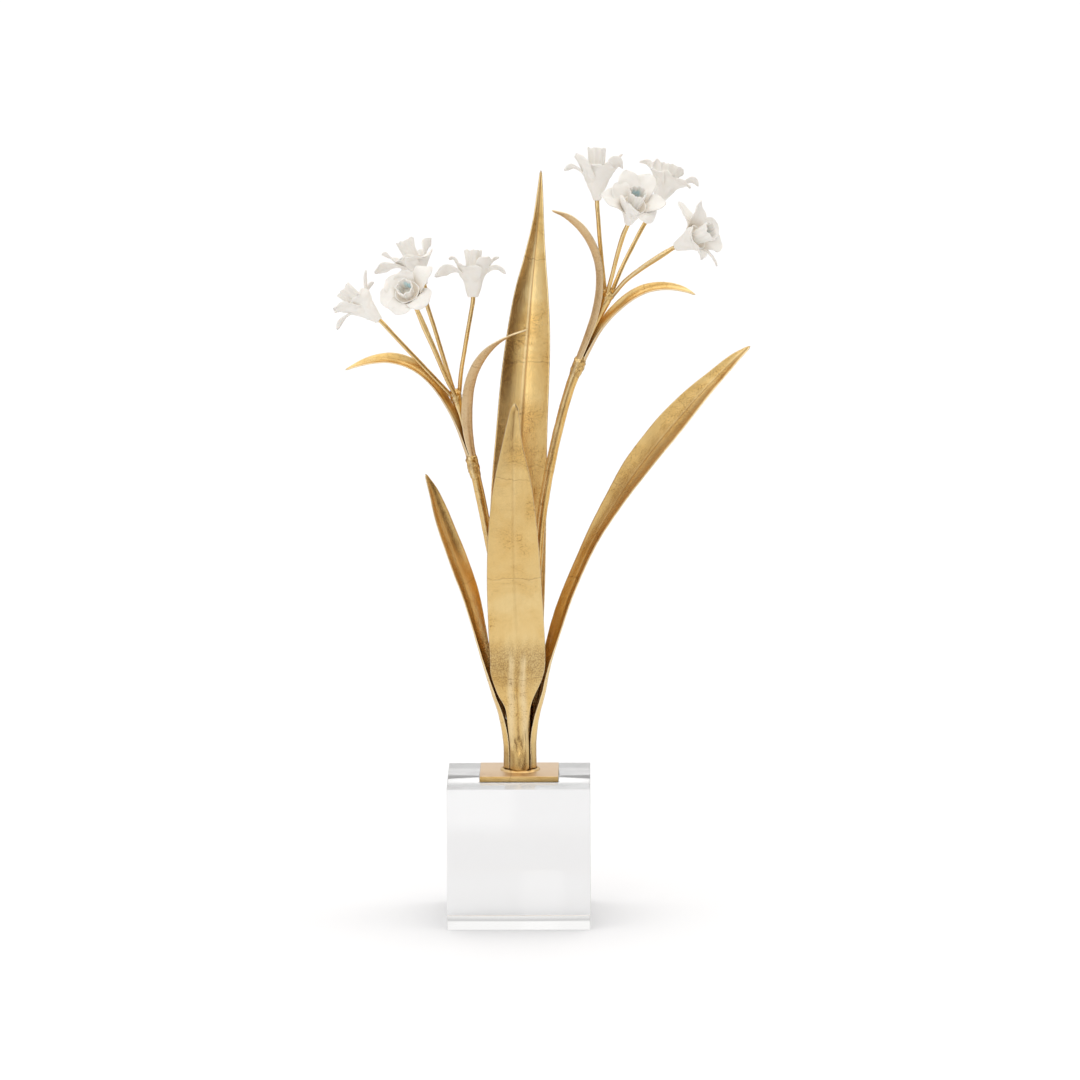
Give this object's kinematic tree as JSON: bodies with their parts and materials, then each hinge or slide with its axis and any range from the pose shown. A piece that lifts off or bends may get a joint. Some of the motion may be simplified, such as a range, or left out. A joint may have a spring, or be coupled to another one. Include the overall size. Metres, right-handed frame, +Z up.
{
  "type": "gilt metal and porcelain narcissus ornament on a clear acrylic block",
  "caption": "Standing flower ornament: gilt metal narcissus leaves and branched stems with white porcelain blooms, on a small gilt plate bonded to a clear acrylic block.",
  "frame": {"origin": "middle of the block's underside, which rests on the table", "axes": "+Z up along the stems, -Y to the front that faces the viewer, +X to the viewer's right"},
  "size_m": [0.2961, 0.1034, 0.5516],
  "materials": {
    "clear_block": "polished",
    "gilt": "satin",
    "porcelain": "satin"
  },
  "bodies": {
    "root": {"block": "clear_block", "plate": "gilt", "leaf_front": "gilt", "leaf_back": "gilt", "leaf_left": "gilt", "leaf_right": "gilt", "stem_left": "gilt", "stem_right": "gilt", "bract_left_outer": "gilt", "bract_left_inner": "gilt", "bract_right_inner": "gilt", "bract_right_outer": "gilt", "wire_left_1": "gilt", "wire_left_2": "gilt", "wire_left_3": "gilt", "wire_left_4": "gilt", "wire_right_1": "gilt", "wire_right_2": "gilt", "wire_right_3": "gilt", "wire_right_4": "gilt", "bloom_left_1": "porcelain", "bloom_left_2": "porcelain", "bloom_left_3": "porcelain", "bloom_left_4": "porcelain", "bloom_right_1": "porcelain", "bloom_right_2": "porcelain", "bloom_right_3": "porcelain", "bloom_right_4": "porcelain"}
  },
  "joints": []
}
